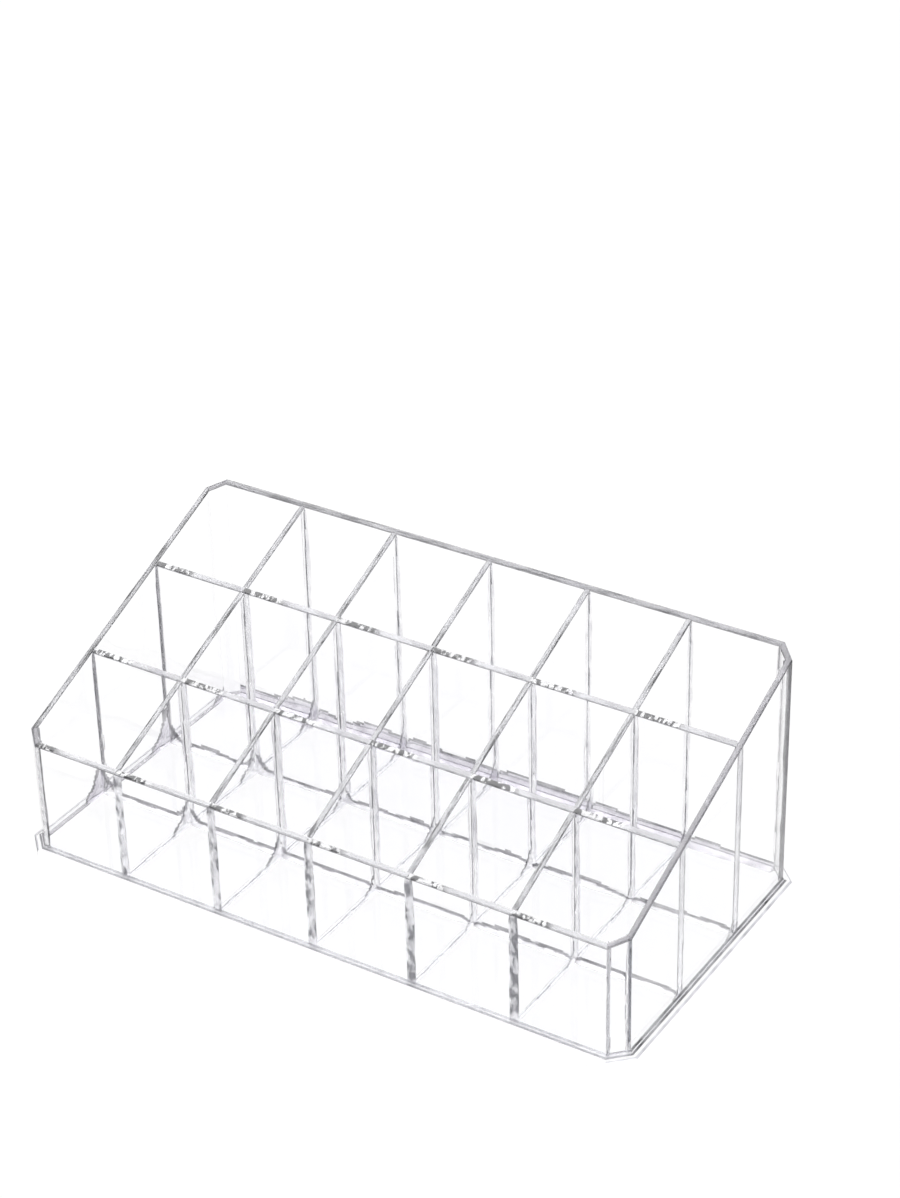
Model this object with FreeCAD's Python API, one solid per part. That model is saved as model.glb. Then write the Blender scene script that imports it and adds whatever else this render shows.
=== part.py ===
import FreeCAD, Part
import math
import os

# Clear acrylic organizer: a tray of open cells with a sloping rim, cut from flat sheet
# and bonded on a base plate.
# Millimetres, Z up, front is -Y, origin at the middle of the underside of the base plate.

# Outside of the walled box
body_length = 225.0
body_depth = 112.5
# Height of the rim above the table, at the outer face of the front wall and of the back wall
front_height = 43.5
back_height = 89.5
# Leg of the 45 degree cut at each upright corner, on the outside
corner_cut = 5.4

# Sheet thicknesses
wall_thickness = 2.0
divider_thickness = 2.0
base_thickness = 3.0

# Base plate: how far it stands out past the walls, and the small bevel along its upper edge
base_overhang = 2.75
base_bevel = 0.6

# Cells
columns = 6
rows = 3

# Fit of the halved joints: air on each side of a sheet in its slot, and above the slot floor
slot_clearance = 0.15

# Values that follow from the sizes above
half_length = body_length / 2.0
half_depth = body_depth / 2.0
inner_half_length = half_length - wall_thickness
inner_half_depth = half_depth - wall_thickness
# A 45 degree corner moved inward by a distance loses this share of the distance from its leg
corner_share = 2.0 - math.sqrt(2.0)
inner_cut = corner_cut - corner_share * wall_thickness
base_cut = corner_cut + corner_share * base_overhang
rim_slope = (back_height - front_height) / body_depth
cell_length = (2.0 * inner_half_length - (columns - 1) * divider_thickness) / columns
cell_depth = (2.0 * inner_half_depth - (rows - 1) * divider_thickness) / rows
column_pitch = cell_length + divider_thickness
row_pitch = cell_depth + divider_thickness
slot_width = divider_thickness + 2.0 * slot_clearance
# Anything this tall or wide is outside the part
reach = 2.0 * (body_length + body_depth + back_height)


def rim_height(y):
    """Height of the sloping rim plane above the table at a depth y."""
    return front_height + rim_slope * (y + half_depth)


def octagon(half_x, half_y, cut):
    """Rectangle with its four corners cut at 45 degrees, from the front edge's left end, anticlockwise."""
    return [
        (-half_x + cut, -half_y),
        (half_x - cut, -half_y),
        (half_x, -half_y + cut),
        (half_x, half_y - cut),
        (half_x - cut, half_y),
        (-half_x + cut, half_y),
        (-half_x, half_y - cut),
        (-half_x, -half_y + cut),
    ]


def upright(plan, bottom, top):
    """Solid with the given outline in plan, from one height to another."""
    points = [FreeCAD.Vector(x, y, bottom) for x, y in plan]
    face = Part.Face(Part.makePolygon(points + points[:1]))
    return face.extrude(FreeCAD.Vector(0, 0, top - bottom))


def block(x0, x1, y0, y1, z0, z1):
    """Box between two corners."""
    return Part.makeBox(x1 - x0, y1 - y0, z1 - z0, FreeCAD.Vector(x0, y0, z0))


def above_rim():
    """Everything over the sloping rim plane, to be taken off the tall blanks."""
    side = [
        FreeCAD.Vector(-reach, -reach, rim_height(-reach)),
        FreeCAD.Vector(-reach, reach, rim_height(reach)),
        FreeCAD.Vector(-reach, reach, rim_height(reach) + reach),
        FreeCAD.Vector(-reach, -reach, rim_height(reach) + reach),
    ]
    face = Part.Face(Part.makePolygon(side + side[:1]))
    return face.extrude(FreeCAD.Vector(2.0 * reach, 0, 0))


off_cut = above_rim()
blank_top = max(front_height, back_height) + 1.0


def sheet(plan):
    """Upright sheet on the base plate, its top edge cut along the rim plane."""
    return upright(plan, base_thickness, blank_top).cut(off_cut)


# Base plate with its upper edge bevelled
plate = upright(
    octagon(half_length + base_overhang, half_depth + base_overhang, base_cut), 0.0, base_thickness
)
upper_edges = [e for e in plate.Edges if min(v.Z for v in e.Vertexes) > base_thickness / 2.0]
base_plate = plate.makeChamfer(base_bevel, upper_edges)

# Eight wall sheets round the box, mitred where they meet
wall_names = [
    "front_wall",
    "corner_front_right",
    "right_wall",
    "corner_back_right",
    "back_wall",
    "corner_back_left",
    "left_wall",
    "corner_front_left",
]
outer = octagon(half_length, half_depth, corner_cut)
inner = octagon(inner_half_length, inner_half_depth, inner_cut)
pieces = {"base_plate": base_plate}
for i, name in enumerate(wall_names):
    j = (i + 1) % len(wall_names)
    pieces[name] = sheet([outer[i], outer[j], inner[j], inner[i]])

# Middle lines of the dividers: across the length, and across the depth
divider_x = [-inner_half_length + i * column_pitch - divider_thickness / 2.0 for i in range(1, columns)]
cross_y = [-inner_half_depth + i * row_pitch - divider_thickness / 2.0 for i in range(1, rows)]


def joint_height(y):
    """Height where a divider's slot ends and a cross divider's slot begins, halfway up the sheet."""
    return (base_thickness + rim_height(y)) / 2.0


# Front-to-back dividers, slotted from the top for the cross dividers
for i, x in enumerate(divider_x):
    x0 = x - divider_thickness / 2.0
    x1 = x + divider_thickness / 2.0
    divider = sheet([
        (x0, -inner_half_depth), (x1, -inner_half_depth), (x1, inner_half_depth), (x0, inner_half_depth),
    ])
    for y in cross_y:
        y0 = y - slot_width / 2.0
        divider = divider.cut(
            block(x0 - 1.0, x1 + 1.0, y0, y0 + slot_width, joint_height(y), blank_top + 1.0)
        )
    pieces["divider_%d" % (i + 1)] = divider

# Cross dividers, slotted from the bottom so that they drop over the dividers
for i, y in enumerate(cross_y):
    y0 = y - divider_thickness / 2.0
    y1 = y + divider_thickness / 2.0
    cross = sheet([
        (-inner_half_length, y0), (inner_half_length, y0), (inner_half_length, y1), (-inner_half_length, y1),
    ])
    for x in divider_x:
        x0 = x - slot_width / 2.0
        roof = joint_height(y) + slot_clearance
        cross = cross.cut(block(x0, x0 + slot_width, y0 - 1.0, y1 + 1.0, base_thickness - 1.0, roof))
    pieces["cross_divider_%d" % (i + 1)] = cross

os.makedirs("parts", exist_ok=True)
for name, solid in pieces.items():
    solid.exportStep("parts/%s.step" % name)
    print(name, "volume mm3", round(solid.Volume, 1), "valid", solid.isValid())
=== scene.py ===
# %% [markdown]
# # A clear acrylic vanity organizer
# The real object is a tray of eighteen open cells, sawn from clear cast acrylic sheet and bonded with
# solvent cement. The CAD frame already has every sheet in its place. Flat glass boxes alone look like a
# drawing, because what the eye sees of clear acrylic is its edges: sawn rims, scraped corners, and cement
# that swells a little out of each joint. So each sheet is modelled again here with those edges, in the same
# place and at the same size.

import math

import bpy
from mathutils import Matrix, Vector, noise


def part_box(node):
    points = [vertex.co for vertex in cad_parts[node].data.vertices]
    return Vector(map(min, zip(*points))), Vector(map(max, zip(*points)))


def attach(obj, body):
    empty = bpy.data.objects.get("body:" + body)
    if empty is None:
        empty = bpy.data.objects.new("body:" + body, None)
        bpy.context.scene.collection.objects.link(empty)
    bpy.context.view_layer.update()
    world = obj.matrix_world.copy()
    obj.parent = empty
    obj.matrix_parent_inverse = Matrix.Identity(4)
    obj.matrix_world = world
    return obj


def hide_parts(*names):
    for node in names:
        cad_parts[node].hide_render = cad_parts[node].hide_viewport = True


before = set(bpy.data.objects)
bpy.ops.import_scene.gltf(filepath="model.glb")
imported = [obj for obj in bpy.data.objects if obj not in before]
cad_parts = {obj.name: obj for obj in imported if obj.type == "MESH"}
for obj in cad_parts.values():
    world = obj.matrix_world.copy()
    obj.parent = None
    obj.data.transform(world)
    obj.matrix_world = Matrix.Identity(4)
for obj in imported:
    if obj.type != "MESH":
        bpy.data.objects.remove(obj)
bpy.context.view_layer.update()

# %% [markdown]
# ## Sizes
# Nothing is measured twice: the sizes come from the boxes of the CAD nodes. The rim is one sloping plane,
# and two points on it, the inner top edge of the front wall and the outer top edge of the back wall, give
# its slope.

# %% Sizes read from the frame
mm = 0.001
base_low, base_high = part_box("base_plate")
front_low, front_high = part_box("front_wall")
back_low, back_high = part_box("back_wall")
right_low, right_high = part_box("right_wall")
divider_names = sorted(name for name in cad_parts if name.startswith("divider_"))
cross_names = sorted(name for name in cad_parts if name.startswith("cross_divider_"))
divider_x = [(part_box(name)[0].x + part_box(name)[1].x) / 2 for name in divider_names]
cross_y = [(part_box(name)[0].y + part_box(name)[1].y) / 2 for name in cross_names]

floor_top = base_high.z
sheet = right_high.x - right_low.x
half_length = right_high.x
half_depth = back_high.y
inner_x = right_low.x
inner_y = back_low.y
corner_cut = half_length - front_high.x
rim_slope = (back_high.z - front_high.z) / (back_high.y - front_high.y)


def rim_height(y):
    """Height of the sloping rim plane at a depth y."""
    return front_high.z + rim_slope * (y - front_high.y)


print("sheet", sheet, "corner cut", corner_cut, "rim", rim_height(-half_depth), "to", rim_height(half_depth))

# %% [markdown]
# ## Camera
# The photograph looks down on the organizer from the front right through a long lens. The place and turn of
# the camera were fitted to the crossings of the rims, their corners and the lines along the feet. Azimuth
# turns it round the object, dip tips it down, and a small roll levels the base line. The long side of the
# picture takes the sensor width, so the lens follows from that side.

# %% Camera
picture_height_px = 1198
focal_px = 3009.4
sensor_mm = 36.0
camera_place = Vector((0.45169, -0.67315, 0.58377))
camera_azimuth = math.radians(32.715)
camera_dip = math.radians(30.746)
camera_roll = math.radians(-1.40)
near_clip = 0.01
quarter_turn = math.radians(90)

camera_data = bpy.data.cameras.new("camera")
camera_data.sensor_width = sensor_mm
camera_data.lens = focal_px * sensor_mm / picture_height_px
camera_data.clip_start = near_clip
camera = bpy.data.objects.new("camera", camera_data)
camera.location = camera_place
turn_round = Matrix.Rotation(camera_azimuth, 3, "Z")
tip_down = Matrix.Rotation(quarter_turn - camera_dip, 3, "X")
roll = Matrix.Rotation(camera_roll, 3, "Z")
camera.rotation_mode = "QUATERNION"
camera.rotation_quaternion = (turn_round @ tip_down @ roll).to_quaternion()
bpy.context.collection.objects.link(camera)
bpy.context.scene.camera = camera
print("lens mm", camera_data.lens)

# %% [markdown]
# ## Two helpers for materials
# Colours are written as sRGB hex values, as a paint program shows them, and Blender computes in linear
# light, so one function converts them. Another adds any node with its settings, its values and its links in
# one call.

# %% Colour and node helpers


def linear(hex_colour):
    """Turns an sRGB hex colour into the linear RGBA that a shader takes."""
    channels = [int(hex_colour[i:i + 2], 16) / 255 for i in (1, 3, 5)]
    return [c / 12.92 if c <= 0.04045 else ((c + 0.055) / 1.055) ** 2.4 for c in channels] + [1.0]


def add_node(tree, kind, settings=None, values=None, links=None):
    """Adds a node, sets its properties and input values, and links its inputs from other nodes' outputs."""
    node = tree.nodes.new(kind)
    for name, value in (settings or {}).items():
        setattr(node, name, value)
    for socket, value in (values or {}).items():
        node.inputs[socket].default_value = value
    for socket, source in (links or {}).items():
        tree.links.new(source, node.inputs[socket])
    return node


print("white is", linear("#FFFFFF"))

# %% [markdown]
# ## Studio
# Clear plastic shows only what stands round it. Here that is a photographer's white light tent, a little
# greyer overhead: flat faces look through to white, so only the tints of the rims and of the cement draw
# lines, and on the rims, corners and cement outlines those tints are painted shade and painted glints. A
# picture of a studio could be wrapped round the scene, but one smooth limit on how high a ray goes is
# enough.

# %% World
grey_ceiling = linear("#DCDCDE")
white_room = linear("#FFFFFF")
ceiling_start = 0.60
ceiling_full = 0.85

world = bpy.data.worlds.new("studio")
world.use_nodes = True
bpy.context.scene.world = world
tree = world.node_tree
tree.nodes.clear()
direction = add_node(tree, "ShaderNodeTexCoord").outputs["Generated"]
upward = add_node(tree, "ShaderNodeSeparateXYZ", links={"Vector": direction}).outputs["Z"]
walls = add_node(
    tree, "ShaderNodeMapRange", {"interpolation_type": "SMOOTHSTEP"},
    {"From Min": ceiling_full, "From Max": ceiling_start}, {"Value": upward},
).outputs["Result"]
camera_ray = add_node(tree, "ShaderNodeLightPath").outputs["Is Camera Ray"]
white_share = add_node(
    tree, "ShaderNodeMath", {"operation": "MAXIMUM"}, links={0: walls, 1: camera_ray}
).outputs[0]
studio_colour = add_node(
    tree, "ShaderNodeMix", {"data_type": "RGBA"}, {6: grey_ceiling, 7: white_room}, {0: white_share}
).outputs[2]
background = add_node(tree, "ShaderNodeBackground", values={"Strength": 1.0}, links={"Color": studio_colour})
add_node(tree, "ShaderNodeOutputWorld", links={"Surface": background.outputs[0]})
print("world nodes", len(tree.nodes))

# %% [markdown]
# ## Floor
# The object stands on seamless white paper. Seen by the camera, or through and in the acrylic, most of it
# is plain white, and a small share is its lit surface, which keeps the soft shadow of the object. A
# brighter lamp could bleach the paper too, but it would bleach the object with it.

# %% Floor
paper_size = 24.0
paper_gap = 0.2 * mm
paper_white_share = 0.92
paper_grain = 0.8 * mm
paper_dark = linear("#F6F6F6")
paper_pale = linear("#FCFCFC")

bpy.ops.object.select_all(action="DESELECT")
bpy.ops.mesh.primitive_plane_add(size=paper_size, location=(0.0, 0.0, base_low.z - paper_gap))
paper = bpy.context.object
paper.name = "paper_floor"

paper_material = bpy.data.materials.new("seamless_white_paper")
paper_material.use_nodes = True
tree = paper_material.node_tree
tree.nodes.clear()
place = add_node(tree, "ShaderNodeTexCoord").outputs["Object"]
fibre = add_node(
    tree, "ShaderNodeTexNoise", values={"Scale": 1 / paper_grain}, links={"Vector": place}
).outputs["Fac"]
tone = add_node(
    tree, "ShaderNodeMix", {"data_type": "RGBA"}, {6: paper_dark, 7: paper_pale}, {0: fibre}
).outputs[2]
lit_paper = add_node(tree, "ShaderNodeBsdfDiffuse", links={"Color": tone}).outputs[0]
plain_white = add_node(tree, "ShaderNodeEmission", values={"Color": white_room, "Strength": 1.0}).outputs[0]
path = add_node(tree, "ShaderNodeLightPath")
seen = add_node(
    tree, "ShaderNodeMath", {"operation": "MAXIMUM"},
    links={0: path.outputs["Is Camera Ray"], 1: path.outputs["Is Glossy Ray"]},
).outputs[0]
seen = add_node(
    tree, "ShaderNodeMath", {"operation": "MAXIMUM"}, links={0: seen, 1: path.outputs["Is Transmission Ray"]}
).outputs[0]
share = add_node(
    tree, "ShaderNodeMath", {"operation": "MULTIPLY"}, {1: paper_white_share}, {0: seen}
).outputs[0]
mixed = add_node(tree, "ShaderNodeMixShader", links={0: share, 1: lit_paper, 2: plain_white}).outputs[0]
add_node(tree, "ShaderNodeOutputMaterial", links={"Surface": mixed})
paper.data.materials.append(paper_material)
print("floor", tuple(paper.location))

# %% [markdown]
# ## Lamps
# Two softboxes light the tent: a key high on the left, and a weaker fill low on the right. Large lamps give
# soft shadows, as the walls of a light tent do.

# %% Lamps
softboxes = {
    "key_softbox": {"place": (-0.55, 0.25, 1.25), "side": 0.9, "watts": 11.0},
    "fill_softbox": {"place": (1.1, -0.9, 0.9), "side": 0.7, "watts": 5.0},
}
lamp_aim = Vector((0.0, 0.0, 0.03))
for name, box in softboxes.items():
    lamp_data = bpy.data.lights.new(name, "AREA")
    lamp_data.size = box["side"]
    lamp_data.energy = box["watts"]
    lamp = bpy.data.objects.new(name, lamp_data)
    lamp.location = box["place"]
    lamp.rotation_mode = "QUATERNION"
    lamp.rotation_quaternion = (lamp_aim - Vector(box["place"])).to_track_quat("-Z", "Y")
    bpy.context.collection.objects.link(lamp)
    print(name, box["watts"], "W")

# %% [markdown]
# ## Light bounces
# Light runs along inside a clear sheet and is reflected dozens of times before it comes out at an edge.
# With too few bounces those edges turn black, so the limits are raised far above their defaults.

# %% Light bounces
clear_bounces = 96
diffuse_bounces = 3
scene = bpy.context.scene
scene.view_settings.view_transform = "Standard"
scene.cycles.max_bounces = clear_bounces
scene.cycles.glossy_bounces = clear_bounces
scene.cycles.transmission_bounces = clear_bounces
scene.cycles.transparent_max_bounces = clear_bounces
scene.cycles.diffuse_bounces = diffuse_bounces
print("bounces", scene.cycles.max_bounces)

# %% [markdown]
# ## Acrylic finishes
# All of it is the same cast acrylic, with an index of refraction of 1.49. How each surface was made sets its
# roughness and unevenness: the faces come off a glass mould, the rims off a saw, the corners off a scraper,
# and the joints out of a bottle. The grey and dark tints of the rims, the corners, the cement outlines and
# the base's bevel and corners are painted shade and painted glints, in place of the dark surroundings that
# clear acrylic bends into view. Lamps have to shine through it, and a shadow ray can't bend, so for shadow
# rays the glass is plain transparent and only dims by what two faces reflect.

# %% Acrylic finishes
acrylic_ior = 1.49
mottle_detail = 3.0
shadow_tint = linear("#F6F6F7")
pitch = divider_x[1] - divider_x[0]
zone_blur = 0.1


# On the rims, the corners, the cement outlines and the base's bevel and corners, the dark and pale ends of
# the tint and the plain tint of a zone are painted shade and painted glints.
def acrylic(name, pale, dark, feature, contrast, roughness, dent, zone=None, clearness=1.0, mirror=1.0):
    """Clear acrylic with a mottled tint and an uneven surface. feature is the size of the mottle in X, Y
    and Z, contrast the two noise values that become dark and pale, roughness its least and most, and dent
    the depth of the unevenness. zone is for marks that cover only part of each column: the share of it,
    from its left end, and the plain tint of the rest. clearness is the share of the light that goes
    through, and the rest is scattered, as frosted acrylic does. mirror is how much is left of the
    reflection of a view straight on."""
    material = bpy.data.materials.new(name)
    material.use_nodes = True
    tree = material.node_tree
    tree.nodes.clear()
    place = add_node(tree, "ShaderNodeTexCoord").outputs["Object"]
    scaled = add_node(
        tree, "ShaderNodeMapping", values={"Scale": [1 / size for size in feature]}, links={"Vector": place}
    ).outputs[0]
    mottle = add_node(
        tree, "ShaderNodeTexNoise", values={"Scale": 1.0, "Detail": mottle_detail}, links={"Vector": scaled}
    ).outputs["Fac"]
    depth = add_node(
        tree, "ShaderNodeMapRange", values={"From Min": contrast[0], "From Max": contrast[1]},
        links={"Value": mottle}
    ).outputs["Result"]
    tint = add_node(
        tree, "ShaderNodeMix", {"data_type": "RGBA"}, {6: linear(dark), 7: linear(pale)}, {0: depth}
    ).outputs[2]
    if zone:
        x = add_node(tree, "ShaderNodeSeparateXYZ", links={"Vector": place}).outputs["X"]
        column = add_node(
            tree, "ShaderNodeMath", {"operation": "MULTIPLY_ADD"}, {1: 1 / pitch, 2: -divider_x[0] / pitch},
            {0: x}
        ).outputs[0]
        part = add_node(tree, "ShaderNodeMath", {"operation": "FRACT"}, links={0: column}).outputs[0]
        plain = add_node(
            tree, "ShaderNodeMapRange", values={"From Min": zone[0] - zone_blur, "From Max": zone[0]},
            links={"Value": part},
        ).outputs["Result"]
        tint = add_node(
            tree, "ShaderNodeMix", {"data_type": "RGBA"}, {7: linear(zone[1])}, {0: plain, 6: tint}
        ).outputs[2]
    rough = add_node(
        tree, "ShaderNodeMapRange", values={"To Min": roughness[1], "To Max": roughness[0]},
        links={"Value": depth}
    ).outputs["Result"]
    bump = add_node(
        tree, "ShaderNodeBump", values={"Strength": 1.0, "Distance": dent}, links={"Height": mottle}
    ).outputs["Normal"]
    straight_on = [mirror] * 3 + [1.0]
    glass = add_node(
        tree, "ShaderNodeBsdfPrincipled",
        values={"Transmission Weight": clearness, "IOR": acrylic_ior, "Specular Tint": straight_on},
        links={"Base Color": tint, "Roughness": rough, "Normal": bump},
    ).outputs[0]
    clear = add_node(tree, "ShaderNodeBsdfTransparent", values={"Color": shadow_tint}).outputs[0]
    shadow_ray = add_node(tree, "ShaderNodeLightPath").outputs["Is Shadow Ray"]
    mixed = add_node(tree, "ShaderNodeMixShader", links={0: shadow_ray, 1: glass, 2: clear}).outputs[0]
    add_node(tree, "ShaderNodeOutputMaterial", links={"Surface": mixed})
    return material


# Faces straight from the mould: water clear, with a swell so slight that it only bends the lines behind it
# a little. The photograph shows no mirror images in them, so these are turned down below what acrylic gives.
cast_face = acrylic(
    "cast_acrylic_face", pale="#FFFFFF", dark="#FEFEFF", feature=(22 * mm,) * 3, contrast=(0.3, 0.7),
    roughness=(0.0, 0.01), dent=0.004 * mm, mirror=0.12
)
# Rims of the sheets that run front to back: long grey and dark streaks of painted shade, in place of the
# dark surroundings that a real rim bends into view.
streaked_rim_painted_shade = acrylic(
    "acrylic_rim_painted_shade_streaks", pale="#B4B4B8", dark="#161618", feature=(0.7 * mm, 13 * mm, 6 * mm),
    contrast=(0.38, 0.58), roughness=(0.0, 0.05), dent=0.004 * mm
)
# Rims of the right wall and the corner strips: an even grey of painted shade, in place of the dark
# surroundings that a real rim bends into view.
grey_rim_painted_shade = acrylic(
    "acrylic_rim_painted_grey_shade", pale="#8C8A90", dark="#58565E", feature=(3 * mm, 14 * mm, 8 * mm),
    contrast=(0.3, 0.7), roughness=(0.02, 0.08), dent=0.004 * mm
)
# Rims of the sheets that run along the tray: over the first part of every column, short dark and bright
# marks of painted shade and painted glints, and over the rest a plain grey of painted shade.
painted_glints_and_shade = {
    "pale": "#FFFFFF", "dark": "#161618", "feature": (1.5 * mm, 3 * mm, 3 * mm), "contrast": (0.48, 0.56)
}
cross_rim_painted_glints_and_shade = acrylic(
    "cross_acrylic_rim_painted_glints_and_shade", roughness=(0.0, 0.05), dent=0.01 * mm, zone=(0.5, "#B6B6BA"), **painted_glints_and_shade
)
front_rim_painted_glints_and_shade = acrylic(
    "front_acrylic_rim_painted_glints_and_shade", roughness=(0.0, 0.05), dent=0.01 * mm, zone=(0.42, "#CACACE"), **painted_glints_and_shade
)
# The rim of the back wall: long grey streaks of painted shade again, from end to end.
back_rim_painted_shade = acrylic(
    "back_acrylic_rim_painted_shade", pale="#8C8C90", dark="#242428", feature=(10 * mm, 0.7 * mm, 3 * mm),
    contrast=(0.38, 0.6), roughness=(0.0, 0.05), dent=0.004 * mm
)
# Broken corners: painted shade, the darkest lines on the object, standing in for the dark that a view bent
# furthest would find.
corner_painted_shade = acrylic(
    "acrylic_corner_painted_shade", pale="#7A7A7E", dark="#1C1C20", feature=(3 * mm,) * 3,
    contrast=(0.3, 0.65), roughness=(0.0, 0.08), dent=0.01 * mm
)
# Cement that swelled out of a joint and set: pale lilac, smooth and a little lumpy.
lilac_cement = acrylic(
    "lilac_solvent_cement", pale="#E0DCE6", dark="#AAA5B2", feature=(4 * mm,) * 3, contrast=(0.3, 0.7),
    roughness=(0.0, 0.04), dent=0.02 * mm
)
# The same cement along the feet of the other walls and of the cross dividers, where dust of the saw got
# into it.
grey_cement = acrylic(
    "grey_solvent_cement", pale="#FBFBFC", dark="#D2D1D6", feature=(5 * mm,) * 3, contrast=(0.3, 0.7),
    roughness=(0.0, 0.04), dent=0.01 * mm
)
# The cement on the dividers, drawn in by the joints themselves: clear.
clear_cement = acrylic(
    "clear_solvent_cement", pale="#FFFFFF", dark="#F2F2F4", feature=(4 * mm,) * 3, contrast=(0.3, 0.7),
    roughness=(0.0, 0.03), dent=0.01 * mm
)
# Where cement ends on a sheet: a dark outline of painted shade round it, in place of the dark that the edge
# of the fillet bends into view.
cement_outline_painted_shade = acrylic(
    "solvent_cement_outline_painted_shade", pale="#7C7B80", dark="#2C2C30", feature=(4 * mm,) * 3, contrast=(0.3, 0.7),
    roughness=(0.0, 0.06), dent=0.02 * mm
)
# The outline at the foot of the right wall: painted shade, nearly black.
right_foot_outline_painted_shade = acrylic(
    "right_wall_foot_outline_painted_shade", pale="#86868A", dark="#0A0A0C", feature=(9 * mm,) * 3, contrast=(0.3, 0.7),
    roughness=(0.0, 0.06), dent=0.02 * mm
)
# The same outline along the front: a paler line of painted shade.
front_outline_painted_shade = acrylic(
    "front_cement_outline_painted_shade", pale="#9A9AA0", dark="#7C7C82", feature=(6 * mm,) * 3, contrast=(0.3, 0.7),
    roughness=(0.0, 0.06), dent=0.01 * mm
)
# The mitres of the outer walls, bonded edge to edge: a grey line at each upright corner.
mitre_joint = acrylic(
    "mitred_acrylic_joint", pale="#D2D2D6", dark="#8E8E94", feature=(4 * mm,) * 3, contrast=(0.3, 0.7),
    roughness=(0.0, 0.06), dent=0.01 * mm
)
# The bonded face inside a joint, well filled: clear with a few pale blotches.
bonded_face = acrylic(
    "bonded_acrylic_face", pale="#FEFEFF", dark="#D4D3D8", feature=(4 * mm,) * 3, contrast=(0.3, 0.6),
    roughness=(0.0, 0.04), dent=0.01 * mm
)
# The sawn foot of a sheet on the base plate, softened by the solvent: it scatters the light that runs down
# to it.
bonded_foot = acrylic(
    "bonded_acrylic_foot", pale="#FFFFFF", dark="#E8E7EB", feature=(4 * mm,) * 3, contrast=(0.3, 0.6),
    roughness=(0.35, 0.5), dent=0.01 * mm
)
# The bonded ends behind the front wall, run short of cement: dark blotches, and speckles where air stayed
# in.
starved_joint = acrylic(
    "starved_acrylic_joint", pale="#EDEDF0", dark="#46464C", feature=(2.2 * mm, 2.2 * mm, 4 * mm),
    contrast=(0.4, 0.58), roughness=(0.02, 0.2), dent=0.05 * mm
)
# Outer edge of the base plate, sanded until it is frosted white.
sanded_edge = acrylic(
    "sanded_base_edge", pale="#FFFFFF", dark="#FAFAFB", feature=(3 * mm,) * 3, contrast=(0.3, 0.7),
    roughness=(0.4, 0.55), dent=0.004 * mm, clearness=0.15
)
# The bevel along its sides and its back: grey painted shade on a frosted surface.
bevel_painted_shade = acrylic(
    "base_bevel_painted_shade", pale="#E4E4E8", dark="#A4A4AA", feature=(7 * mm,) * 3, contrast=(0.3, 0.7),
    roughness=(0.4, 0.55), dent=0.004 * mm, clearness=0.15
)
# The front left corner and the bevel of the back right one: rough, and grey with painted shade.
base_corner_painted_shade = acrylic(
    "acrylic_base_corner_painted_shade", pale="#6A6A70", dark="#1E1E22", feature=(2 * mm,) * 3, contrast=(0.3, 0.65),
    roughness=(0.1, 0.3), dent=0.03 * mm, clearness=0.5
)
face_slot, rim_slot, corner_slot, fill_slot, outline_slot = range(5)
bonded_slot, starved_slot, foot_slot, mitre_slot = range(5, 9)
print("finishes", [m.name for m in bpy.data.materials])

# %% [markdown]
# ## How a sheet is made
# A sheet starts as a grid that stands on edge in the middle of the sheet's thickness. Its columns and rows
# are not even: they crowd together where a joint will swell and where the rim is rounded, and they are far
# apart on the flat. Squares of the grid are deleted for the halved joints, Solidify gives the thickness,
# and then each point moves out of its face by the height of the fillet there, as an inflate brush would do
# it.

# %% Rows and columns
seam = 0.03 * mm
corner_radius = 0.3 * mm
near_steps = [0.0, 0.15 * mm, 0.35 * mm, 0.6 * mm, 0.9 * mm, 1.3 * mm, 1.8 * mm]
far_step = 0.8
fillet_steps = near_steps + [k * far_step * mm for k in range(3, 14)]
rim_steps = [corner_radius, 0.16 * mm, 0.06 * mm, 0.0]
column_gap = 1.6 * mm
row_gap = 5.0 * mm
rim_margin = 1.2 * mm
half_slot = sheet / 2 + seam
slot_step = 0.02 * mm


def stations(start, end, crossings):
    """Places of the columns along a sheet: fine steps from each end and from both sides of each
    crossing."""
    joints = [start] + sorted(c + side * half_slot for c in crossings for side in (-1, 1)) + [end]
    found = {c + side * (half_slot - slot_step) for c in crossings for side in (-1, 1)}
    for a, b in zip(joints[::2], joints[1::2]):
        steps = [s for s in fillet_steps if s < (b - a) / 2]
        found |= {a + s for s in steps} | {b - s for s in steps}
    fixed = sorted(found)
    filled = []
    for a, b in zip(fixed, fixed[1:]):
        parts = max(1, round((b - a) / column_gap))
        filled += [a + (b - a) * k / parts for k in range(parts)]
    return filled + [end]


def row_heights(bottom, top):
    """Heights of the rows of a sheet: fine steps at the foot and at the rim, with one row exactly halfway
    up."""
    low = bottom + fillet_steps[-1]
    half = (bottom + top) / 2
    high = top - rim_margin
    parts = max(1, round((rim_height(0) - floor_top) / row_gap / 2))
    lower = [low + (half - low) * k / parts for k in range(1, parts)]
    upper = [half + (high - half) * k / parts for k in range(parts)]
    return [bottom + s for s in fillet_steps] + lower + upper + [high] + [top - s for s in rim_steps]


print("rows in a sheet", len(row_heights(floor_top, rim_height(0))))

# %% [markdown]
# ## Sheet blank
# The blank is a grid primitive whose points are moved to the columns and rows of the sheet. The squares of
# the slots are selected and deleted, and Solidify turns the grid into a sheet. A cube with loop cuts would
# do as well, but its cuts would have to be slid one by one.

# %% Sheet blank


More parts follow.
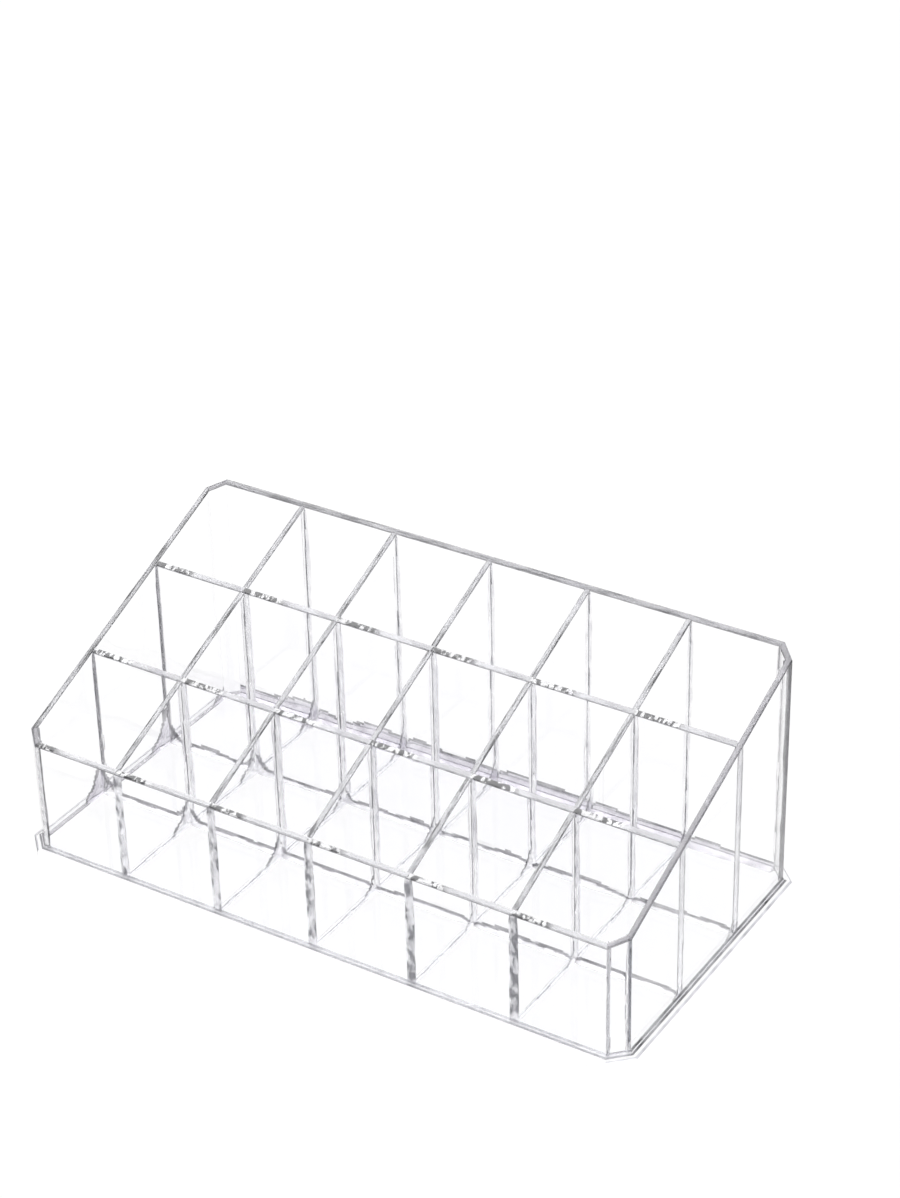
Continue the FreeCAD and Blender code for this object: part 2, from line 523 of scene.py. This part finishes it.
def sheet_blank(name, middle, turn, columns, cut_away=None):
    """Adds the grid for one sheet and gives it thickness. middle is the plan point at the centre of its
    run, turn its turn about Z, columns their places along the run, and cut_away says of a square's place
    along the run and share of the height whether it is sawn out."""
    along = Vector((math.cos(turn), math.sin(turn), 0.0))
    rows = len(row_heights(floor_top, rim_height(0)))
    bpy.ops.object.select_all(action="DESELECT")
    bpy.ops.mesh.primitive_grid_add(x_subdivisions=len(columns) - 1, y_subdivisions=rows - 1, size=1.0)
    piece = bpy.context.object
    piece.name = name
    piece.data.name = name
    mesh = piece.data
    places = [Vector((middle[0], middle[1], 0.0)) + along * column for column in columns]
    heights = [row_heights(floor_top + seam, rim_height(place.y)) for place in places]
    for vertex in mesh.vertices:
        column = round((vertex.co.x + 0.5) * (len(columns) - 1))
        row = round((vertex.co.y + 0.5) * (rows - 1))
        vertex.co = (places[column].x, places[column].y, heights[column][row])
    mesh.update()
    if cut_away:
        bpy.ops.object.mode_set(mode="EDIT")
        bpy.ops.mesh.select_mode(type="FACE")
        bpy.ops.mesh.select_all(action="DESELECT")
        bpy.ops.object.mode_set(mode="OBJECT")
        for face in mesh.polygons:
            run = (face.center - Vector((middle[0], middle[1], 0.0))).dot(along)
            share = (face.center.z - floor_top) / (rim_height(face.center.y) - floor_top)
            face.select = cut_away(run, share)
        bpy.ops.object.mode_set(mode="EDIT")
        bpy.ops.mesh.delete(type="FACE")
        bpy.ops.object.mode_set(mode="OBJECT")
    thicken = piece.modifiers.new("thickness", "SOLIDIFY")
    thicken.thickness = sheet
    thicken.offset = 0.0
    bpy.ops.object.modifier_apply(modifier=thicken.name)
    return piece


print("columns of a divider", len(stations(-inner_y, inner_y, cross_y)))

# %% [markdown]
# ## Fillets and finishes
# Cement sets in a hollow curve between two sheets. In the lower corners of a cell it makes a web that
# rounds the corner off, and where it was run by hand it is uneven. Each curve is a small function of the
# distance from the joint. Then every face gets its finish from the way it points and from how much cement
# stands on it.

# %% Curves of cement and of broken corners
hollowness = 2
web_taper = 4
web_band = 1 / 3


def cove(distance, height, width):
    """Height of a hollow fillet at a distance from the joint that it fills."""
    if distance >= width or height <= 0:
        return 0.0
    return height * (1 - max(distance, 0.0) / width) ** hollowness


def web(side_gap, foot_gap, radius, height):
    """Height of the web of cement that rounds off a lower corner of a cell, as in a moulded pocket.
    side_gap is the distance from the upright joint, and foot_gap the height above the floor."""
    if side_gap >= radius or foot_gap >= radius:
        return 0.0
    reach = radius - math.hypot(radius - side_gap, radius - foot_gap)
    lean = math.atan2(radius - side_gap, radius - foot_gap) / quarter_turn
    share = min(1.0, web_taper * lean, web_taper * (1 - lean))
    return cove(reach, height * share, radius * web_band)


def shoulder_share(gap, length):
    """Rises from 0 to 1 in a quarter circle over a length, for cement that rounds off beside an upright
    sheet."""
    t = min(1.0, max(0.0, gap / length))
    return math.sqrt(1 - (1 - t) ** 2)


def uneven(place, height, seed, depth=0.35, wave=7 * mm):
    """A factor near 1 that wanders along a joint, as hand-run cement does. wave is how far apart the lumps
    are."""
    return 1 + depth * noise.noise(Vector((place / wave, height / wave, seed)))


def rounded(distance, radius):
    """How far a broken corner stands back from the face at a distance from the edge."""
    if distance >= radius:
        return 0.0
    return radius - math.sqrt(max(0.0, radius**2 - (radius - distance) ** 2))


print("a fillet of 1 mm, half way out", cove(0.5 * mm, 1 * mm, 1 * mm))

# %% Finishing a sheet
mitre = math.tan(math.radians(22.5))
smooth_angle = math.radians(32)
rim_normal = Vector((0.0, -rim_slope, 1.0)).normalized()
flat_limit = 0.9995
rim_limit = 0.95
side_limit = 0.3
steep_limit = 0.55
foot_corner = 0.25 * mm
thin_outline = 0.12 * mm
wide_outline = 0.3 * mm
least_height = 0.01 * mm


def finish_sheet(
    piece, node, middle, turn, finishes, outline_height, swell, mitred_run=None, steep=steep_limit
):
    """Moves the points of a sheet out to its fillets and broken corners, and gives each face its finish.
    finishes are those of the rim, the cement and its outline, and cement lower than outline_height is
    outline. swell gives the fillet's height for a place along the run, a height and a side, which is 1 or
    -1. Cement that faces less to the side than steep is outline too."""
    along = Vector((math.cos(turn), math.sin(turn), 0.0))
    across = Vector((math.sin(turn), -math.cos(turn), 0.0))
    centre = Vector((middle[0], middle[1], 0.0))
    mesh = piece.data
    swells = []
    for vertex in mesh.vertices:
        run = (vertex.co - centre).dot(along)
        side = 1 if (vertex.co - centre).dot(across) > 0 else -1
        height = vertex.co.z
        flat_y = middle[1] + along.y * run
        drop = rim_height(flat_y) - height
        swells.append(swell(run, height, side))
        out = side * (sheet / 2 + swells[-1] - rounded(drop, corner_radius))
        stretch = 1 + mitre * out / mitred_run if mitred_run else 1.0
        place = centre + along * run * stretch + across * out
        share = (height - floor_top) / (rim_height(flat_y) - floor_top)
        place.z = floor_top + share * (rim_height(place.y) - floor_top)
        vertex.co = place
    mesh.update()
    mesh.materials.clear()
    rim, fill, outline = finishes
    visible = (cast_face, rim, corner_painted_shade, fill, outline)
    inside = (bonded_face, starved_joint, bonded_foot, mitre_joint)
    for finish in visible + inside:
        mesh.materials.append(finish)
    for face in mesh.polygons:
        facing = abs(face.normal.dot(across))
        raised = sum(swells[i] for i in face.vertices) / len(face.vertices)
        at_rim = rim_height(face.center.y) - face.center.z < corner_radius
        at_foot = face.center.z - floor_top < foot_corner
        if at_rim and face.normal.dot(rim_normal) > rim_limit:
            face.material_index = rim_slot
        elif facing > side_limit and raised > least_height:
            thin = raised < outline_height or facing < steep
            face.material_index = outline_slot if thin else fill_slot
        elif facing > flat_limit:
            face.material_index = face_slot
        elif facing > side_limit:
            face.material_index = corner_slot if at_rim or at_foot else mitre_slot
        elif face.normal.z < -rim_limit and at_foot:
            face.material_index = foot_slot
        elif face.center.y < -inner_y + 2 * seam and face.normal.y < -rim_limit:
            face.material_index = starved_slot
        else:
            face.material_index = bonded_slot
    bpy.ops.object.select_all(action="DESELECT")
    piece.select_set(True)
    bpy.context.view_layer.objects.active = piece
    bpy.ops.object.mode_set(mode="EDIT")
    bpy.ops.mesh.select_all(action="SELECT")
    bpy.ops.mesh.normals_make_consistent(inside=False)
    bpy.ops.object.mode_set(mode="OBJECT")
    bpy.ops.object.shade_smooth_by_angle(angle=smooth_angle)
    for face in mesh.polygons:
        face.use_smooth = face.material_index != face_slot
    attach(piece, "root")
    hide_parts(node)
    print(piece.name, len(mesh.polygons), "faces")


print("the rim faces", tuple(rim_normal))

# %% [markdown]
# ## Base plate
# A plate of thicker sheet with its four corners cut off, a little larger than the box that stands on it, so
# that a narrow ledge runs all round. A cube is cut at the corners with bisect, and the edge of its upper
# face is bevelled.

# %% Base plate
base_bevel = 0.6 * mm
bevel_segments = 2
bisect_threshold = 1e-7
plate_face, plate_edge, plate_corner, plate_bevel = range(4)
ledge = base_high.x - half_length
base_cut = corner_cut + (2 - math.sqrt(2)) * ledge
plate_middle = (base_low + base_high) / 2
plate_size = base_high - base_low

bpy.ops.object.select_all(action="DESELECT")
bpy.ops.mesh.primitive_cube_add(size=1.0, location=plate_middle, scale=plate_size)
plate = bpy.context.object
plate.name = "base_plate_acrylic"
plate.data.name = plate.name
bpy.ops.object.transform_apply(location=True, rotation=True, scale=True)
bpy.ops.object.mode_set(mode="EDIT")
for side_x in (-1, 1):
    for side_y in (-1, 1):
        bpy.ops.mesh.select_all(action="SELECT")
        bpy.ops.mesh.bisect(
            plane_co=(side_x * base_high.x, side_y * (base_high.y - base_cut), 0.0),
            plane_no=(side_x, side_y, 0.0), use_fill=True, clear_outer=True, threshold=bisect_threshold,
        )
bpy.ops.mesh.select_mode(type="FACE")
bpy.ops.mesh.select_all(action="DESELECT")
bpy.ops.object.mode_set(mode="OBJECT")
for face in plate.data.polygons:
    face.select = face.normal.z > rim_limit
bpy.ops.object.mode_set(mode="EDIT")
bpy.ops.mesh.region_to_loop()
bpy.ops.mesh.bevel(offset=base_bevel, segments=bevel_segments, affect="EDGES")
bpy.ops.mesh.select_all(action="SELECT")
bpy.ops.mesh.normals_make_consistent(inside=False)
bpy.ops.object.mode_set(mode="OBJECT")
plate.data.materials.append(cast_face)
for finish in (sanded_edge, base_corner_painted_shade, bevel_painted_shade):
    plate.data.materials.append(finish)
for face in plate.data.polygons:
    bevelled = face.normal.z > side_limit
    if abs(face.normal.z) > flat_limit:
        face.material_index = plate_face
    elif min(abs(face.normal.x), abs(face.normal.y)) > side_limit:
        front_left = max(face.center.x, face.center.y) < 0
        back_right = min(face.center.x, face.center.y) > 0
        face.material_index = plate_corner if front_left or (back_right and bevelled) else plate_edge
    else:
        worn = bevelled and face.normal.y > -side_limit
        face.material_index = plate_bevel if worn else plate_edge
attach(plate, "root")
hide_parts("base_plate")
print("base plate corner cut", base_cut, len(plate.data.polygons), "faces")

# %% [markdown]
# ## Outer walls
# Four walls and four narrow corner strips stand round the box, mitred where they meet. Each is a sheet
# blank, turned to its side. Cement shows along the feet: a wide lilac fillet inside the back wall, webs
# beside the cross dividers on the end walls, and a narrow fillet outside the front and the right wall. More
# of it was run in at the left end.

# %% Places along a sheet


def leftness(x):
    """0 at the right end of the tray and 1 at the left end, where more cement was run in."""
    return (half_length - x) / (2 * half_length)


def joint_gaps(run, crossings, end):
    """Distance along a sheet to the nearest upright joint before it and after it, towards -run and +run."""
    before = [run + end] + [run - c - half_slot for c in crossings]
    after = [end - run] + [c - half_slot - run for c in crossings]
    reached = [min([g for g in gaps if g > -slot_step / 2], default=far_gap) for gaps in (before, after)]
    return reached


far_gap = 2 * half_length
print("gaps at the middle of the back wall", joint_gaps(0.0, divider_x, inner_x))

# %% Outer walls
back_fillet = 2.6 * mm
back_fillet_left = 6.5 * mm
back_flatness = 0.6
side_foot = 0.6 * mm
front_foot = 1.2 * mm
front_outline = 0.2 * mm
dry_foot = 1.2 * mm
strip_fillet = 0.6 * mm
dry_flatness = 0.3
web_height = 0.7 * mm
web_radius = 4.0 * mm
web_radius_left = 11.0 * mm
left_shoulder = 3.0 * mm
right_shoulder = 1.0 * mm
lumpy = 0.5
very_lumpy = 0.6
wall_wave = 15 * mm
upright_wave = 6 * mm
foot_seed = 0.5
strip_seed = 0.3
wall_middles = {
    "front_wall": (0.0, -half_depth, 0.0),
    "right_wall": (half_length, 0.0, 90.0),
    "back_wall": (0.0, half_depth, 180.0),
    "left_wall": (-half_length, 0.0, 270.0),
    "corner_front_right": (half_length - corner_cut / 2, -half_depth + corner_cut / 2, 45.0),
    "corner_back_right": (half_length - corner_cut / 2, half_depth - corner_cut / 2, 135.0),
    "corner_back_left": (-half_length + corner_cut / 2, half_depth - corner_cut / 2, 225.0),
    "corner_front_left": (-half_length + corner_cut / 2, -half_depth + corner_cut / 2, 315.0),
}
outer_half_runs = {
    "front_wall": half_length - corner_cut,
    "back_wall": half_length - corner_cut,
    "left_wall": half_depth - corner_cut,
    "right_wall": half_depth - corner_cut,
}
wall_finishes = {
    "front_wall": (front_rim_painted_glints_and_shade, grey_cement, front_outline_painted_shade),
    "right_wall": (grey_rim_painted_shade, grey_cement, right_foot_outline_painted_shade),
    "back_wall": (back_rim_painted_shade, lilac_cement, cement_outline_painted_shade),
    "left_wall": (streaked_rim_painted_shade, lilac_cement, cement_outline_painted_shade),
    "corner_front_right": (grey_rim_painted_shade, grey_cement, front_outline_painted_shade),
    "corner_front_left": (grey_rim_painted_shade, grey_cement, cement_outline_painted_shade),
}
outline_heights = {
    "right_wall": wide_outline,
    "front_wall": front_outline,
    "corner_front_right": front_outline,
    "corner_front_left": front_outline,
}
for seed, (name, (x, y, degrees)) in enumerate(wall_middles.items()):
    turn = math.radians(degrees)
    across = Vector((math.sin(turn), -math.cos(turn), 0.0))
    middle = Vector((x, y, 0.0)) - across * sheet / 2
    outer_half = outer_half_runs.get(name, corner_cut / math.sqrt(2))
    half_run = outer_half - mitre * sheet / 2 - seam / 2
    crossings = []
    if name in ("front_wall", "back_wall"):
        crossings = [c * math.cos(turn) for c in divider_x]
    elif name in ("left_wall", "right_wall"):
        crossings = [c * math.sin(turn) for c in cross_y]

    def swell(run, height, side):
        """Cement on an outer wall: fillets along its foot, webs beside the cross dividers, and lines up the
        corners."""
        foot_gap = height - floor_top - seam
        x = middle.x + math.cos(turn) * run
        y = middle.y + math.sin(turn) * run
        found = 0.0
        wobble = uneven(run, 0.0, seed + foot_seed, lumpy, wall_wave)
        if side < 0 and name == "back_wall":
            size = (back_fillet + (back_fillet_left - back_fillet) * leftness(x)) * wobble
            right_gap, left_gap = joint_gaps(run, crossings, inner_x)
            size *= shoulder_share(left_gap, left_shoulder) * shoulder_share(right_gap, right_shoulder)
            found = cove(foot_gap, size * back_flatness, size)
        elif side > 0 and name in ("front_wall", "corner_front_left", "corner_front_right"):
            found = cove(foot_gap, front_foot, front_foot)
        elif side > 0 and name == "right_wall":
            found = cove(foot_gap, dry_foot, dry_foot)
        elif side < 0 and name in ("left_wall", "right_wall"):
            gaps = joint_gaps(y, cross_y, inner_y)
            radius = (web_radius + (web_radius_left - web_radius) * leftness(x)) * wobble
            flatness = dry_flatness if name == "right_wall" else 1.0
            found = max(
                cove(foot_gap, side_foot * flatness, side_foot), web(gaps[1], foot_gap, radius, web_height)
            )
        elif side < 0 and name in ("corner_front_left", "corner_front_right", "corner_back_right"):
            size = strip_fillet * uneven(height, run, seed + strip_seed, very_lumpy, upright_wave)
            found = cove(half_run - abs(run), size, size)
        if name == "front_wall":
            return found
        return found if found > 0 else -rounded(foot_gap, foot_corner)

    piece = sheet_blank(name + "_acrylic", middle, turn, stations(-half_run, half_run, crossings))
    finishes = wall_finishes.get(name, (grey_rim_painted_shade, grey_cement, cement_outline_painted_shade))
    outline_height = outline_heights.get(name, thin_outline)
    finish_sheet(piece, name, middle, turn, finishes, outline_height, swell, half_run)

# %% [markdown]
# ## Dividers
# Five dividers run from front to back and two cross dividers run along the tray. Where they cross, each is
# sawn half through, and one drops into the other. The dividers carry the upright fillets, at both ends and
# beside each cross divider, a thin line of cement along the foot, and webs in the lower corners of the
# cells.

# %% Dividers
foot_lumps = 0.7
foot_wave = 9 * mm
cell_step = 40 * mm
cell_wave = 1.0
clear_core = 0.0
end_fillet = 0.6 * mm
front_fillet = 0.6 * mm
crossing_fillet = 0.6 * mm
fillet_left = 1.2 * mm
divider_foot = 0.7 * mm
rim_clear = 2.5 * mm
half_way = 0.5
divider_seed = 3.1
end_seed = 10
start_seed = 20
web_seed = 30
long_seed = 40
end_y = inner_y - seam
for number, (name, x) in enumerate(zip(divider_names, divider_x)):
    middle = Vector((x, 0.0, 0.0))
    turn = quarter_turn

    def cut_away(run, share):
        """The slots in a divider are open at the top."""
        return share > half_way and any(abs(run - c) < half_slot for c in cross_y)

    def swell(run, height, side):
        """Fillets on a divider: up its two ends and beside the cross dividers, with webs in the lower
        corners."""
        seed = number * divider_seed + side
        foot_gap = height - floor_top - seam
        in_slot = any(abs(run - c) < half_slot - slot_step / 2 for c in cross_y)
        fade = min(1.0, max(0.0, rim_height(run) - height - corner_radius) / rim_clear)
        gap_before, gap_after = joint_gaps(run, cross_y, end_y)
        found = 0.0
        if not in_slot:
            wider = (fillet_left - crossing_fillet) * leftness(x)
            size = front_fillet if gap_before == run + end_y else crossing_fillet + wider
            size *= fade * uneven(height, run // cell_step, seed + start_seed, lumpy, upright_wave)
            found = cove(gap_before, size, size)
            size = (end_fillet if gap_after == end_y - run else crossing_fillet) + wider
            size *= fade * uneven(height, run // cell_step, seed + end_seed, lumpy, upright_wave)
            radius = web_radius + (web_radius_left - web_radius) * leftness(x)
            radius *= uneven(run // cell_step, 0.0, seed + web_seed, very_lumpy, cell_wave)
            found = max(found, cove(gap_after, size, size))
            size = divider_foot * uneven(run, 0.0, seed + long_seed, foot_lumps, foot_wave)
            found = max(found, cove(foot_gap, size, size))
            if side > 0:
                found = max(found, web(gap_after, foot_gap, radius, web_height))
        return found if found > 0 else -rounded(foot_gap, foot_corner)

    piece = sheet_blank(name + "_acrylic", middle, turn, stations(-end_y, end_y, cross_y), cut_away)
    finishes = (streaked_rim_painted_shade, clear_cement, cement_outline_painted_shade)
    finish_sheet(
        piece, name, middle, turn, finishes, thin_outline, swell, steep=clear_core
    )

# %% [markdown]
# ## Cross dividers
# The two cross dividers are sawn from below, and carry the wide fillets along their feet. These fade out in
# a rounded shoulder beside each divider, and at the left end they run into webs.

# %% Cross dividers
end_wave = 5 * mm
cross_wave = 11 * mm
cross_foot = 2.4 * mm
cross_flatness = 0.45
cross_end = 0.6 * mm
cross_shoulder = 4.5 * mm
cross_web_left = 9.0 * mm
cross_seed = 4.7
cross_start = 50
cross_web_seed = 40
end_x = inner_x - seam
for number, (name, y) in enumerate(zip(cross_names, cross_y)):
    middle = Vector((0.0, y, 0.0))

    def cut_away(run, share):
        """The slots in a cross divider are open at the bottom."""
        return share < half_way and any(abs(run - c) < half_slot for c in divider_x)

    def swell(run, height, side):
        """Fillets on a cross divider: along its foot, with rounded shoulders, and up its two ends."""
        seed = number * cross_seed + side + cross_start
        foot_gap = height - floor_top - seam
        fade = min(1.0, max(0.0, rim_height(y) - height - corner_radius) / rim_clear)
        left_gap, right_gap = joint_gaps(run, divider_x, end_x)
        foot_size = cross_foot * uneven(run, 0.0, seed, very_lumpy, cross_wave)
        foot_size *= shoulder_share(left_gap, left_shoulder) * shoulder_share(right_gap, cross_shoulder)
        end_size = cross_end * fade * uneven(height, 0.0, seed + end_seed, lumpy, end_wave)
        foot = 0.0
        if side > 0:
            lump = uneven(run // pitch, 0.0, seed + cross_web_seed, very_lumpy, cell_wave)
            radius = cross_web_left * leftness(run) ** 2 * lump
            foot = cove(foot_gap, foot_size * cross_flatness, foot_size)
            foot = max(
                foot, web(left_gap, foot_gap, radius, web_height),
                web(right_gap, foot_gap, radius, web_height)
            )
        return max(foot, cove(end_x - abs(run), end_size, end_size))

    piece = sheet_blank(name + "_acrylic", middle, 0.0, stations(-end_x, end_x, divider_x), cut_away)
    finishes = (cross_rim_painted_glints_and_shade, grey_cement, cement_outline_painted_shade)
    finish_sheet(piece, name, middle, 0.0, finishes, wide_outline, swell)
